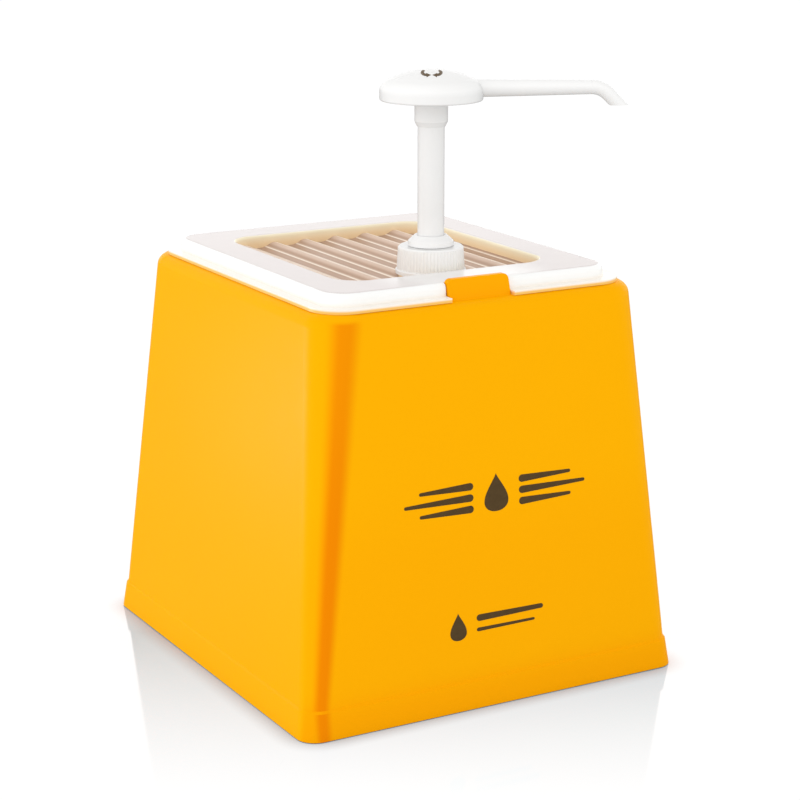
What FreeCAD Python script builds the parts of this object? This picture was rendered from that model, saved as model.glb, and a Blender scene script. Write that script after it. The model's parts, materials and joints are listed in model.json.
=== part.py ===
import FreeCAD, Part
import math
import os

# Counter-top condiment pump dispenser, in millimetres.
# The frame stands on the counter: origin at the middle of the footprint, +Z up, the front
# face towards -Y and +X along the front face. A tapered housing holds a hanging container,
# a ribbed lid covers it, and a plunger pump screws onto the neck of the lid.

V = FreeCAD.Vector
UP = V(0, 0, 1)

# Housing: a tapered square shell, open underneath.
TOP_Z = 240.0
BASE_HALF = (128.4, 138.0)
SKIRT_Z = 18.0
SKIRT_SLOPE_H = 1.5
SKIRT_TOP_HALF = (126.3, 136.2)
WALL_FOOT_HALF = (125.3, 135.2)
WALL_TOP_HALF = (106.9, 120.5)
CORNER_R_BASE = 12.0
CORNER_R_TOP = 22.0
SHOULDER_R = 8.0
WALL = 3.0
TOP_PLATE = 5.0
MOUTH_HALF = (84.0, 97.0)
REBATE_HALF = (90.5, 103.5)
REBATE_Z = 237.8
TONGUE_HALF_W = 20.3
TONGUE_BACK_Y = -105.0
TONGUE_TIP_Y = -108.5
TONGUE_FOOT_Y = -112.5
TONGUE_TOP_Z = 252.0
TONGUE_R = 3.0

# Rubber feet, pushed into pads in the four corners of the skirt.
FOOT_PROUD = 0.5
FOOT_AT = (112.0, 121.0)
FOOT_R = 9.0
FOOT_CHAMFER = 0.4
FOOT_STEM_R = 3.5
BUTTON_R = (4.7, 2.9)
BUTTON_H = 2.5
PAD = 26.0
PAD_REACH = 6.0
PAD_T = 5.0
PAD_SEAT = 2.0

# Container: a tapered tub that hangs by its rim in the mouth of the housing.
TUB_WALL = 2.0
TUB_FLOOR = 2.5
TUB_TOP_HALF = (82.5, 95.5)
TUB_FOOT_HALF = (74.5, 87.0)
TUB_FOOT_Z = 20.0
TUB_R = 14.0
TUB_FOOT_R = 6.0
RIM_HALF = (90.0, 103.0)
RIM_T = 2.0
RIM_TOP_Z = 239.9

# Lid: thin flange, raised hollow border, sunken ribbed panel and a threaded neck.
LID_T = 2.0
FLANGE_HALF = (102.0, 115.4)
FLANGE_R = 20.0
FLANGE_TOP_Z = 242.5
BORDER_HALF = (95.2, 108.6)
BORDER_DRAFT = 0.8
BORDER_R = 17.0
BORDER_TOP_Z = 250.0
BORDER_EDGE_R = 3.6
PANEL_HALF = (69.5, 79.2)
PANEL_Y = 1.8
PANEL_R = 18.0
PANEL_DRAFT = 0.8
PANEL_EDGE_R = 2.0
PANEL_TROUGH_Z = 241.9
PANEL_CREST_Z = 244.9
PANEL_T = 1.8
RIB_PITCH = 22.0
RIB_SHARE = 0.32
RIB_X = 7.5
PLUG_HALF = (79.8, 92.8)
PLUG_DRAFT = 0.3
PLUG_R = 11.0
PLUG_FOOT_Z = 233.0
NOTCH_GAP = 0.6
NECK_R = 16.7
NECK_BORE_R = 14.4
NECK_TOP_Z = 256.8
THREAD_END_Z = 255.3
THREAD_ROOT_R = 16.3
THREAD_R = 17.9
THREAD_PITCH = 4.2
THREAD_TURNS = 1.6
THREAD_ROOT_W = 1.9
THREAD_TIP_W = 0.8
BOSS_R = 19.5
BOSS_TOP_Z = 245.0

# Pump axis, and the closure collar that clamps the pump on the neck.
PUMP_Y = -55.0
COLLAR_FOOT_Z = 245.4
COLLAR_TOP_Z = 261.5
COLLAR_TOP_PLATE = 2.0
COLLAR_R_FOOT = 20.2
COLLAR_R_TOP = 19.5
COLLAR_RING_R = 21.0
COLLAR_RING_H = 2.6
COLLAR_RING_BEVEL = (0.5, 0.6)
COLLAR_TOP_BEVEL = 1.0
COLLAR_BORE_R = 18.05
COLLAR_HOLE_R = 12.75
KNURLS = 60
KNURL_R = 0.5
KNURL_OUT = 0.15

# Barrel with its guide cap, gasket, foot valve and dip tube.
GASKET_T = 0.95
BARREL_R = 12.6
BORE_R = 11.0
BARREL_FLANGE_R = 16.4
BARREL_FLANGE_Z = (257.8, 259.4)
BARREL_TOP_Z = 261.8
BARREL_FOOT_Z = 150.0
VENT_R = 0.8
VENT_Z = 250.5
CAP_R = 13.5
CAP_RIM_Z = 265.2
CAP_TOP_Z = 268.0
CAP_BEVEL = 0.8
CAP_LAND = 1.6
CAP_LEAD_IN = 0.6
CAP_SPIGOT_Z = 253.9
GUIDE_R = 7.96
SEAL_GROOVE_R = 9.6
SEAL_Z = (257.0, 259.4)
SEAL_CLEARANCE = 0.04
VALVE_FLANGE_R = 13.2
VALVE_PLUG_TOP_Z = 156.6
VALVE_FLANGE_T = 3.0
SPIGOT_R = 7.2
SPIGOT_FOOT_Z = 127.0
SPIGOT_TOP_Z = 141.0
TUBE_R = 5.0
TUBE_BORE_R = 3.6
TUBE_TOP_Z = 143.0
TUBE_FOOT_Z = 28.0
TUBE_SLANT = 30.0
LOWER_SEAT_R = 3.2
LOWER_SEAT_Z = 147.0
LOWER_BALL_R = 4.0
LOWER_CHAMBER_R = 4.9
RETAINER_T = 1.8
RETAINER_PEG_R = 1.6
RETAINER_PEG_Z = 155.9
RETAINER_PORT_R = 1.4
RETAINER_PORT_OUT = 3.4
RETAINER_PORTS = 6

# Plunger: piston, cup seal, spring, hollow stem, dome head and spout.
PISTON_Z = (239.6, 253.6)
PISTON_R = 10.7
PISTON_BEVEL = 0.6
PISTON_PORT_R = 2.6
SOCKET_Z = 245.6
UPPER_SEAT_Z = 245.2
UPPER_BALL_R = 3.2
CUP_Z = (240.8, 244.4)
CUP_ROOT_R = 8.2
CUP_ROOT_T = (0.9, 1.1)
CUP_WEB_T = (1.4, 1.6)
CUP_R = 10.96
CUP_LIP_T = (0.35, 0.8)
CUP_BACK_R = 10.71
STEM_R = 7.9
STEM_BORE_R = 4.0
STEM_FOOT_Z = 245.7
STEM_TOP_Z = 345.0
BEAD_R = 8.4
BEAD_Z = (248.8, 250.0)
BEAD_FIT = (0.08, 0.1)
CROSSBAR_Z = (252.6, 255.6)
CROSSBAR_T = 1.2
CROSSBAR_ROOT = 1.0
BALL_GAP = 0.03
SPRING_R = 8.6
SPRING_WIRE_R = 0.75
SPRING_TURNS = 9
HEAD_R = 30.3
HEAD_RIM_Z = 347.3
HEAD_SIDE_TOP_Z = 352.2
HEAD_DOME_H = 13.4
HEAD_SHOULDER_R = 8.0
HEAD_RIM_ROUND = 1.0
HEAD_WALL = 2.0
HEAD_RIBS = 6
RIB_T = 1.4
SLEEVE_R = 9.8
SLEEVE_FOOT_Z = 332.1
SLEEVE_CHAMFER = (1.4, 3.0)
ELBOW_R = 6.2
SPOUT_ANGLE = -29.5
SPOUT_Z = (354.0, 354.8)
SPOUT_R = (5.2, 4.1, 3.8)
SPOUT_BORE_R = (3.2, 2.8, 2.6)
SPOUT_SOCKET_R = 4.2
SPOUT_SOCKET_X = 17.0
SPOUT_ROOT_X = 22.0
SPOUT_CORNER_X = 99.0
SPOUT_BEND_R = 14.0
SPOUT_DROP = 45.0
SPOUT_TIP_Z = 344.4


def rounded_wire(half, radius, z):
    """Closed wire of a rounded rectangle centred on the Z axis."""
    hx, hy = half
    edges = []
    for k in range(4):
        sx = (1, -1, -1, 1)[k]
        sy = (1, 1, -1, -1)[k]
        centre = V(sx * (hx - radius), sy * (hy - radius), z)
        angles = [math.radians(90.0 * k + step) for step in (0, 45, 90)]
        points = [centre + V(radius * math.cos(a), radius * math.sin(a), 0) for a in angles]
        if edges:
            edges.append(Part.LineSegment(last, points[0]).toShape())
        else:
            first = points[0]
        edges.append(Part.Arc(*points).toShape())
        last = points[2]
    edges.append(Part.LineSegment(last, first).toShape())
    return Part.Wire(edges)


def block(half, radius, z0, z1, top_half=None, top_radius=None):
    """Rounded rectangular block between two heights, tapered when a top size is given."""
    lower = rounded_wire(half, radius, z0)
    upper = rounded_wire(top_half or half, top_radius or radius, z1)
    return Part.makeLoft([lower, upper], True, True)


def inset(half, amount):
    """Half sizes of a rectangle drawn in by an amount on every side."""
    return (half[0] - amount, half[1] - amount)


def between(a, b, t):
    """Half sizes a share t of the way from a to b."""
    return (a[0] + (b[0] - a[0]) * t, a[1] + (b[1] - a[1]) * t)


def edges_at(shape, z, half=None):
    """Edges that lie in the plane at height z, and inside half when it is given."""
    found = []
    for edge in shape.Edges:
        box = edge.BoundBox
        flat = abs(box.ZMin - z) < 0.001 and abs(box.ZMax - z) < 0.001
        reach = max(abs(box.XMin), abs(box.XMax)), max(abs(box.YMin), abs(box.YMax))
        inside = half is None or (reach[0] < half[0] and reach[1] < half[1])
        if flat and inside:
            found.append(edge)
    return found


def turned(points):
    """Solid of revolution about the pump axis from (radius, z) points."""
    corners = [V(r, PUMP_Y, z) for r, z in points]
    corners.append(corners[0])
    face = Part.Face(Part.makePolygon(corners))
    return face.revolve(V(0, PUMP_Y, 0), UP, 360)


def ring(outer, inner, z0, z1):
    """Plain tube on the pump axis."""
    return turned([(inner, z0), (outer, z0), (outer, z1), (inner, z1)])


def rod(radius, z0, z1, x=0.0, y=PUMP_Y):
    """Upright cylinder, on the pump axis unless x and y say otherwise."""
    return Part.makeCylinder(radius, z1 - z0, V(x, y, z0), UP)


def tongue():
    """Upright tab at the middle of the front edge, thicker towards its foot, with round corners."""
    foot_z = TOP_Z - 1
    profile = Part.makePolygon([
        V(-TONGUE_HALF_W, TONGUE_BACK_Y, foot_z),
        V(-TONGUE_HALF_W, TONGUE_FOOT_Y, foot_z),
        V(-TONGUE_HALF_W, TONGUE_TIP_Y, TONGUE_TOP_Z),
        V(-TONGUE_HALF_W, TONGUE_BACK_Y, TONGUE_TOP_Z),
        V(-TONGUE_HALF_W, TONGUE_BACK_Y, foot_z),
    ])
    tab = Part.Face(profile).extrude(V(2 * TONGUE_HALF_W, 0, 0))
    corners = [e for e in edges_at(tab, TONGUE_TOP_Z) if e.BoundBox.YLength > 1]
    return tab.makeFillet(TONGUE_R, corners)


def housing():
    """Tapered shell with a flared skirt, rounded shoulders, rebated mouth and front tongue."""
    wall = block(WALL_FOOT_HALF, CORNER_R_BASE, SKIRT_Z, TOP_Z, WALL_TOP_HALF, CORNER_R_TOP)
    wall = wall.makeFillet(SHOULDER_R, edges_at(wall, TOP_Z))
    slope_z = SKIRT_Z - SKIRT_SLOPE_H
    skirt = block(BASE_HALF, CORNER_R_BASE, FOOT_PROUD, slope_z, SKIRT_TOP_HALF)
    slope = block(SKIRT_TOP_HALF, CORNER_R_BASE, slope_z, SKIRT_Z, WALL_FOOT_HALF)
    ceiling = TOP_Z - TOP_PLATE
    share = (ceiling - SKIRT_Z) / (TOP_Z - SKIRT_Z)
    ceiling_half = inset(between(WALL_FOOT_HALF, WALL_TOP_HALF, share), WALL)
    inner_r = CORNER_R_BASE - WALL
    foot_half = inset(WALL_FOOT_HALF, WALL)
    room = block(inset(BASE_HALF, WALL), inner_r, FOOT_PROUD, SKIRT_Z, foot_half)
    upper_room = block(foot_half, inner_r, SKIRT_Z, ceiling, ceiling_half, CORNER_R_TOP - WALL)
    shell = wall.fuse([skirt, slope]).cut(room.fuse(upper_room))
    mouth = block(MOUTH_HALF, TUB_R, ceiling - 1, TOP_Z + 1)
    rebate = block(REBATE_HALF, TUB_R, REBATE_Z, TOP_Z + 1)
    shell = shell.cut([mouth, rebate])
    return shell.fuse([tongue(), foot_pads(room)]).removeSplitter()


def corner_signs():
    """Signs of X and Y at the four corners."""
    return [(sx, sy) for sx in (1, -1) for sy in (1, -1)]


def foot_pads(room):
    """Four shelves inside the skirt corners, each with a seat and a hole for a rubber foot."""
    pads = []
    for sx, sy in corner_signs():
        x, y = sx * FOOT_AT[0], sy * FOOT_AT[1]
        low = V(x - PAD / 2, y - PAD / 2, FOOT_PROUD)
        pad = Part.makeBox(PAD, PAD, PAD_T, low)
        outer = Part.makeBox(PAD, PAD, PAD_T, low + V(sx, sy, 0) * PAD_REACH)
        pad = pad.fuse(outer).common(room)
        pad = pad.cut(rod(FOOT_R, FOOT_PROUD, FOOT_PROUD + PAD_SEAT, x, y))
        pads.append(pad.cut(rod(FOOT_STEM_R, FOOT_PROUD, FOOT_PROUD + PAD_T, x, y)))
    return pads[0].multiFuse(pads[1:])


def rubber_feet():
    """Four feet: a disc in the pad's seat, a stem through the pad and a button that holds it."""
    feet = []
    seat_z = FOOT_PROUD + PAD_SEAT
    pad_z = FOOT_PROUD + PAD_T
    for sx, sy in corner_signs():
        x, y = sx * FOOT_AT[0], sy * FOOT_AT[1]
        disc = rod(FOOT_R, 0, seat_z, x, y)
        disc = disc.makeChamfer(FOOT_CHAMFER, edges_at(disc, 0))
        button = Part.makeCone(*BUTTON_R, BUTTON_H, V(x, y, pad_z), UP)
        feet.append(disc.fuse([rod(FOOT_STEM_R, seat_z, pad_z, x, y), button]).removeSplitter())
    return Part.makeCompound(feet)


def container():
    """Tapered tub with a rim that rests in the rebate of the housing."""
    outer = block(TUB_FOOT_HALF, TUB_R, TUB_FOOT_Z, RIM_TOP_Z, TUB_TOP_HALF, TUB_R)
    outer = outer.makeFillet(TUB_FOOT_R, edges_at(outer, TUB_FOOT_Z))
    floor_z = TUB_FOOT_Z + TUB_FLOOR
    inner_foot = inset(TUB_FOOT_HALF, TUB_WALL)
    inner_top = inset(TUB_TOP_HALF, TUB_WALL)
    inner = block(inner_foot, TUB_R - TUB_WALL, floor_z, RIM_TOP_Z, inner_top)
    inner = inner.makeFillet(TUB_FOOT_R - TUB_WALL / 2, edges_at(inner, floor_z))
    rim = block(RIM_HALF, TUB_R - 1, RIM_TOP_Z - RIM_T, RIM_TOP_Z)
    return outer.fuse(rim).cut(inner).removeSplitter()


def notch(gap):
    """Room for the housing's tongue: a box open to the front."""
    half = TONGUE_HALF_W + gap
    front_y = -FLANGE_HALF[1] - 1
    depth = TONGUE_BACK_Y + gap - front_y
    return Part.makeBox(2 * half, depth, TONGUE_TOP_Z - TOP_Z, V(-half, front_y, TOP_Z))


def ribbed_panel():
    """Corrugated sheet: narrow crests and wide troughs along X, running front to back."""
    rise = PANEL_CREST_Z - PANEL_TROUGH_Z
    middle_z = PANEL_CREST_Z - rise * RIB_SHARE
    crest_half = RIB_PITCH / 2 * RIB_SHARE
    trough_half = RIB_PITCH / 2 - crest_half
    count = math.ceil(PANEL_HALF[0] / RIB_PITCH) + 1
    rows = []
    for drop in (PANEL_T, 0.0):
        z = middle_z - drop
        row = []
        for k in range(-count, count):
            crest_x = RIB_X + k * RIB_PITCH
            start = V(crest_x - crest_half, 0, z)
            crest = V(crest_x, 0, PANEL_CREST_Z - drop)
            join = V(crest_x + crest_half, 0, z)
            trough = V(crest_x + crest_half + trough_half, 0, PANEL_TROUGH_Z - drop)
            end = start + V(RIB_PITCH, 0, 0)
            row += [Part.Arc(start, crest, join).toShape(), Part.Arc(join, trough, end).toShape()]
        rows.append(row)
    lower, upper = rows
    first = Part.makeLine(lower[0].firstVertex().Point, upper[0].firstVertex().Point)
    last = Part.makeLine(lower[-1].lastVertex().Point, upper[-1].lastVertex().Point)
    outline = Part.Wire(Part.__sortEdges__(lower + upper + [first, last]))
    sheet = Part.Face(outline).extrude(V(0, 2 * PANEL_HALF[1], 0))
    sheet.translate(V(0, PANEL_Y - PANEL_HALF[1], 0))
    return sheet


def neck_thread():
    """Helical ridge around the neck."""
    height = THREAD_PITCH * THREAD_TURNS
    helix = Part.makeHelix(THREAD_PITCH, height, THREAD_ROOT_R)
    corners = [
        V(THREAD_ROOT_R, 0, -THREAD_ROOT_W / 2),
        V(THREAD_R, 0, -THREAD_TIP_W / 2),
        V(THREAD_R, 0, THREAD_TIP_W / 2),
        V(THREAD_ROOT_R, 0, THREAD_ROOT_W / 2),
    ]
    profile = Part.makePolygon(corners + corners[:1])
    ridge = Part.Wire(helix).makePipeShell([profile], True, True)
    ridge.translate(V(0, PUMP_Y, THREAD_END_Z - height - THREAD_ROOT_W / 2))
    return ridge


def recess(grown, z0, z1):
    """The sunken space of the lid between two heights, grown sideways by an amount."""
    top_half = inset(PANEL_HALF, -grown)
    space = block(inset(top_half, PANEL_DRAFT), PANEL_R + grown, z0, z1, top_half)
    space.translate(V(0, PANEL_Y, 0))
    return space


def lid():
    """One moulding: flange, hollow raised border, sunken ribbed panel, plug and threaded neck."""
    top_half = inset(BORDER_HALF, BORDER_DRAFT)
    flange = block(FLANGE_HALF, FLANGE_R, TOP_Z, FLANGE_TOP_Z)
    border = block(BORDER_HALF, BORDER_R, TOP_Z, BORDER_TOP_Z, top_half)
    border = border.makeFillet(BORDER_EDGE_R, edges_at(border, BORDER_TOP_Z))
    under_z = BORDER_TOP_Z - LID_T
    hollow_foot = inset(BORDER_HALF, LID_T)
    hollow = block(hollow_foot, BORDER_R - LID_T, TOP_Z, under_z, inset(top_half, LID_T))
    hollow = hollow.makeFillet(BORDER_EDGE_R - LID_T, edges_at(hollow, under_z))
    hollow = hollow.cut(notch(NOTCH_GAP + LID_T))
    body = flange.fuse(border).cut(notch(NOTCH_GAP)).cut(hollow)

    plug_foot = inset(PLUG_HALF, PLUG_DRAFT)
    plug = block(plug_foot, PLUG_R, PLUG_FOOT_Z, under_z, PLUG_HALF)
    plug_inner_r = PLUG_R - LID_T
    plug = plug.cut(
        block(inset(plug_foot, LID_T), plug_inner_r, PLUG_FOOT_Z, under_z, inset(PLUG_HALF, LID_T))
    )
    tray_foot = PANEL_TROUGH_Z - PANEL_T
    body = body.fuse([plug, recess(LID_T, tray_foot, under_z)]).cut(recess(0, tray_foot, BORDER_TOP_Z))
    body = body.fuse(ribbed_panel().common(recess(LID_T / 2, tray_foot, under_z)))

    neck = rod(BOSS_R, tray_foot, BOSS_TOP_Z).fuse(rod(NECK_R, tray_foot, NECK_TOP_Z))
    body = body.fuse(neck).cut(rod(NECK_BORE_R, tray_foot, NECK_TOP_Z)).removeSplitter()
    body = body.fuse(neck_thread())
    rim_edges = edges_at(body, BORDER_TOP_Z, inset(PANEL_HALF, -PANEL_Y - 1))
    return body.makeFillet(PANEL_EDGE_R, rim_edges)


def closure_collar():
    """Screw closure with a ribbed grip, a plain ring at its foot and a hole for the barrel."""
    ring_top = COLLAR_FOOT_Z + COLLAR_RING_H
    bevel_r, bevel_h = COLLAR_RING_BEVEL
    plate_z = COLLAR_TOP_Z - COLLAR_TOP_PLATE
    collar = turned([
        (COLLAR_BORE_R, COLLAR_FOOT_Z),
        (COLLAR_RING_R, COLLAR_FOOT_Z),
        (COLLAR_RING_R, ring_top - bevel_h),
        (COLLAR_RING_R - bevel_r, ring_top),
        (COLLAR_R_FOOT, ring_top),
        (COLLAR_R_TOP, COLLAR_TOP_Z - COLLAR_TOP_BEVEL),
        (COLLAR_R_TOP - COLLAR_TOP_BEVEL, COLLAR_TOP_Z),
        (COLLAR_HOLE_R, COLLAR_TOP_Z),
        (COLLAR_HOLE_R, plate_z),
        (COLLAR_BORE_R, plate_z),
    ])
    grip_h = COLLAR_TOP_Z - ring_top
    lean = math.atan2(COLLAR_R_FOOT - COLLAR_R_TOP, grip_h)
    grooves = []
    for k in range(KNURLS):
        groove = Part.makeCylinder(KNURL_R, grip_h + 1, V(COLLAR_R_FOOT + KNURL_OUT, 0, 0), UP)
        groove.rotate(V(COLLAR_R_FOOT, 0, 0), V(0, 1, 0), -math.degrees(lean))
        groove.translate(V(0, PUMP_Y, ring_top))
        groove.rotate(V(0, PUMP_Y, 0), UP, 360.0 * k / KNURLS)
        grooves.append(groove)
    return collar.cut(grooves)


def barrel_gasket():
    """Flat washer between the barrel's flange and the neck."""
    top = BARREL_FLANGE_Z[0]
    return ring(BARREL_FLANGE_R, BARREL_R, top - GASKET_T, top)


def barrel():
    """Pump cylinder with a clamping flange and a small vent hole."""
    z0, z1 = BARREL_FLANGE_Z
    tube = turned([
        (BORE_R, BARREL_FOOT_Z),
        (BARREL_R, BARREL_FOOT_Z),
        (BARREL_R, z0),
        (BARREL_FLANGE_R, z0),
        (BARREL_FLANGE_R, z1),
        (BARREL_R, z1),
        (BARREL_R, BARREL_TOP_Z),
        (BORE_R, BARREL_TOP_Z),
    ])
    vent = Part.makeCylinder(VENT_R, BARREL_R + 1, V(0, PUMP_Y, VENT_Z), V(0, 1, 0))
    return tube.cut(vent)


def guide_cap():
    """Cap with a sloping top that closes the barrel, guides the stem and keeps the collar on."""
    return turned([
        (GUIDE_R, CAP_SPIGOT_Z),
        (BORE_R, CAP_SPIGOT_Z),
        (BORE_R, BARREL_TOP_Z),
        (CAP_R, BARREL_TOP_Z),
        (CAP_R, CAP_RIM_Z - CAP_BEVEL),
        (CAP_R - CAP_BEVEL, CAP_RIM_Z),
        (GUIDE_R + CAP_LAND, CAP_TOP_Z),
        (GUIDE_R + CAP_LEAD_IN, CAP_TOP_Z),
        (GUIDE_R, CAP_TOP_Z - CAP_LEAD_IN),
        (GUIDE_R, SEAL_Z[1]),
        (SEAL_GROOVE_R, SEAL_Z[1]),
        (SEAL_GROOVE_R, SEAL_Z[0]),
        (GUIDE_R, SEAL_Z[0]),
    ])


def stem_seal():
    """Wiper ring in the cap's groove, round in section and clear of the groove's walls."""
    inner = STEM_R + SEAL_CLEARANCE
    radius = (SEAL_GROOVE_R - inner) / 2
    middle = (SEAL_Z[0] + SEAL_Z[1]) / 2
    return Part.makeTorus(inner + radius, radius, V(0, PUMP_Y, middle), UP)


def foot_valve():
    """Valve body in the foot of the barrel, with the ball's seat and the dip tube's spigot."""
    return turned([
        (TUBE_R, SPIGOT_FOOT_Z),
        (SPIGOT_R, SPIGOT_FOOT_Z),
        (SPIGOT_R, SPIGOT_TOP_Z),
        (VALVE_FLANGE_R, BARREL_FOOT_Z - VALVE_FLANGE_T),
        (VALVE_FLANGE_R, BARREL_FOOT_Z),
        (BORE_R, BARREL_FOOT_Z),
        (BORE_R, VALVE_PLUG_TOP_Z),
        (LOWER_CHAMBER_R, VALVE_PLUG_TOP_Z),
        (LOWER_CHAMBER_R, LOWER_SEAT_Z),
        (LOWER_SEAT_R, LOWER_SEAT_Z),
        (LOWER_SEAT_R, TUBE_TOP_Z),
        (TUBE_R, TUBE_TOP_Z),
    ])


def ball_retainer():
    """Perforated disc over the foot valve, with a peg that stops the ball."""
    top = VALVE_PLUG_TOP_Z + RETAINER_T
    disc = rod(BORE_R, VALVE_PLUG_TOP_Z, top).fuse(rod(RETAINER_PEG_R, RETAINER_PEG_Z, top))
    ports = []
    for k in range(RETAINER_PORTS):
        port = rod(RETAINER_PORT_R, VALVE_PLUG_TOP_Z, top, RETAINER_PORT_OUT)
        port.rotate(V(0, PUMP_Y, 0), UP, 360.0 * k / RETAINER_PORTS)
        ports.append(port)
    return disc.cut(ports).removeSplitter()


def dip_tube():
    """Tube to the floor of the container, cut at a slant so that the floor can't close it."""
    tube = ring(TUBE_R, TUBE_BORE_R, TUBE_FOOT_Z, TUBE_TOP_Z)
    size = 4 * TUBE_R
    rise = TUBE_R * math.tan(math.radians(TUBE_SLANT))
    wedge = Part.makeBox(size, size, size, V(-size / 2, -size / 2, -size))
    wedge.rotate(V(0, 0, 0), V(1, 0, 0), TUBE_SLANT)
    wedge.translate(V(0, PUMP_Y, TUBE_FOOT_Z + rise))
    return tube.cut(wedge)


def seated_ball(radius, seat_r, seat_z):
    """Ball resting just clear of the edge of its seat."""
    lift = math.sqrt(radius**2 - seat_r**2) + BALL_GAP
    return Part.makeSphere(radius, V(0, PUMP_Y, seat_z + lift))


def piston():
    """Piston with a socket for the stem, a seat for the upper ball and a groove for the cup."""
    z0, z1 = PISTON_Z
    bead_r = BEAD_R + BEAD_FIT[0]
    bead_low = BEAD_Z[0] - BEAD_FIT[1]
    bead_high = BEAD_Z[1] + BEAD_FIT[1]
    return turned([
        (PISTON_PORT_R, z0),
        (PISTON_R - PISTON_BEVEL, z0),
        (PISTON_R, z0 + PISTON_BEVEL),
        (PISTON_R, CUP_Z[0]),
        (CUP_ROOT_R, CUP_Z[0]),
        (CUP_ROOT_R, CUP_Z[1]),
        (PISTON_R, CUP_Z[1]),
        (PISTON_R, z1),
        (GUIDE_R, z1),
        (GUIDE_R, bead_high),
        (bead_r, bead_high),
        (bead_r, bead_low),
        (GUIDE_R, bead_low),
        (GUIDE_R, SOCKET_Z),
        (STEM_BORE_R, SOCKET_Z),
        (STEM_BORE_R, UPPER_SEAT_Z),
        (PISTON_PORT_R, UPPER_SEAT_Z),
    ])


def piston_cup():
    """Soft cup seal with a lip that opens downwards against the bore."""
    z0, z1 = CUP_Z
    return turned([
        (CUP_ROOT_R, z0),
        (CUP_ROOT_R + CUP_ROOT_T[0], z0),
        (CUP_ROOT_R + CUP_ROOT_T[1], z1 - CUP_WEB_T[0]),
        (CUP_R - CUP_LIP_T[1], z1 - CUP_WEB_T[1]),
        (CUP_R - CUP_LIP_T[0], z0),
        (CUP_R, z0),
        (CUP_BACK_R, z1),
        (CUP_ROOT_R, z1),
    ])


def return_spring():
    """Round-wire compression spring between the ball retainer and the piston."""
    low = VALVE_PLUG_TOP_Z + RETAINER_T + SPRING_WIRE_R
    high = PISTON_Z[0] - SPRING_WIRE_R
    helix = Part.makeHelix((high - low) / SPRING_TURNS, high - low, SPRING_R)
    circle = Part.Circle(V(SPRING_R, 0, 0), V(0, 1, 0), SPRING_WIRE_R).toShape()
    coil = Part.Wire(helix).makePipeShell([Part.Wire(circle)], True, True)
    coil.translate(V(0, PUMP_Y, low))
    return coil


def stem():
    """Hollow stem with a snap bead at its foot and a crossbar that stops the upper ball."""
    tube = turned([
        (STEM_BORE_R, STEM_FOOT_Z),
        (STEM_R, STEM_FOOT_Z),
        (STEM_R, BEAD_Z[0]),
        (BEAD_R, BEAD_Z[0]),
        (STEM_R, BEAD_Z[1]),
        (STEM_R, STEM_TOP_Z),
        (STEM_BORE_R, STEM_TOP_Z),
    ])
    z0, z1 = CROSSBAR_Z
    width = 2 * (STEM_BORE_R + CROSSBAR_ROOT)
    bar = Part.makeBox(width, CROSSBAR_T, z1 - z0, V(-width / 2, PUMP_Y - CROSSBAR_T / 2, z0))
    return tube.fuse(bar).removeSplitter()


def dome(thinner, rim_round):
    """Solid dome with a rounded rim, a short upright side, a tight shoulder and a flat crown."""
    radius = HEAD_R - thinner
    height = HEAD_DOME_H - thinner
    side_r = HEAD_SHOULDER_R - thinner
    crown_r = (radius**2 + height**2 - 2 * radius * side_r) / (2 * (height - side_r))
    side_centre = V(radius - side_r, PUMP_Y, HEAD_SIDE_TOP_Z)
    crown_centre = V(0, PUMP_Y, HEAD_SIDE_TOP_Z + height - crown_r)
    outward = (side_centre - crown_centre).normalize()
    lean = math.atan2(outward.z, outward.x)

    def on_arc(centre, arc_r, angle):
        return centre + V(math.cos(angle), 0, math.sin(angle)) * arc_r

    bevel = V(radius - rim_round, PUMP_Y, HEAD_RIM_Z)
    rim_centre = bevel + V(0, 0, rim_round)
    side = V(radius, PUMP_Y, HEAD_SIDE_TOP_Z)
    join = on_arc(crown_centre, crown_r, lean)
    top = V(0, PUMP_Y, HEAD_SIDE_TOP_Z + height)
    foot = V(0, PUMP_Y, HEAD_RIM_Z)
    edges = [
        Part.LineSegment(foot, bevel),
        Part.Arc(bevel, on_arc(rim_centre, rim_round, -math.pi / 4), V(radius, PUMP_Y, rim_centre.z)),
        Part.LineSegment(V(radius, PUMP_Y, rim_centre.z), side),
        Part.Arc(side, on_arc(side_centre, side_r, lean / 2), join),
        Part.Arc(join, on_arc(crown_centre, crown_r, (lean + math.pi / 2) / 2), top),
        Part.LineSegment(top, foot),
    ]
    outline = Part.Wire([edge.toShape() for edge in edges])
    return Part.Face(outline).revolve(V(0, PUMP_Y, 0), UP, 360)


def on_spout(shape):
    """Places a shape drawn along +X from the origin on the pump axis, along the spout."""
    placed = shape.copy()
    placed.rotate(V(0, 0, 0), UP, SPOUT_ANGLE)
    placed.translate(V(0, PUMP_Y, 0))
    return placed


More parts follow.
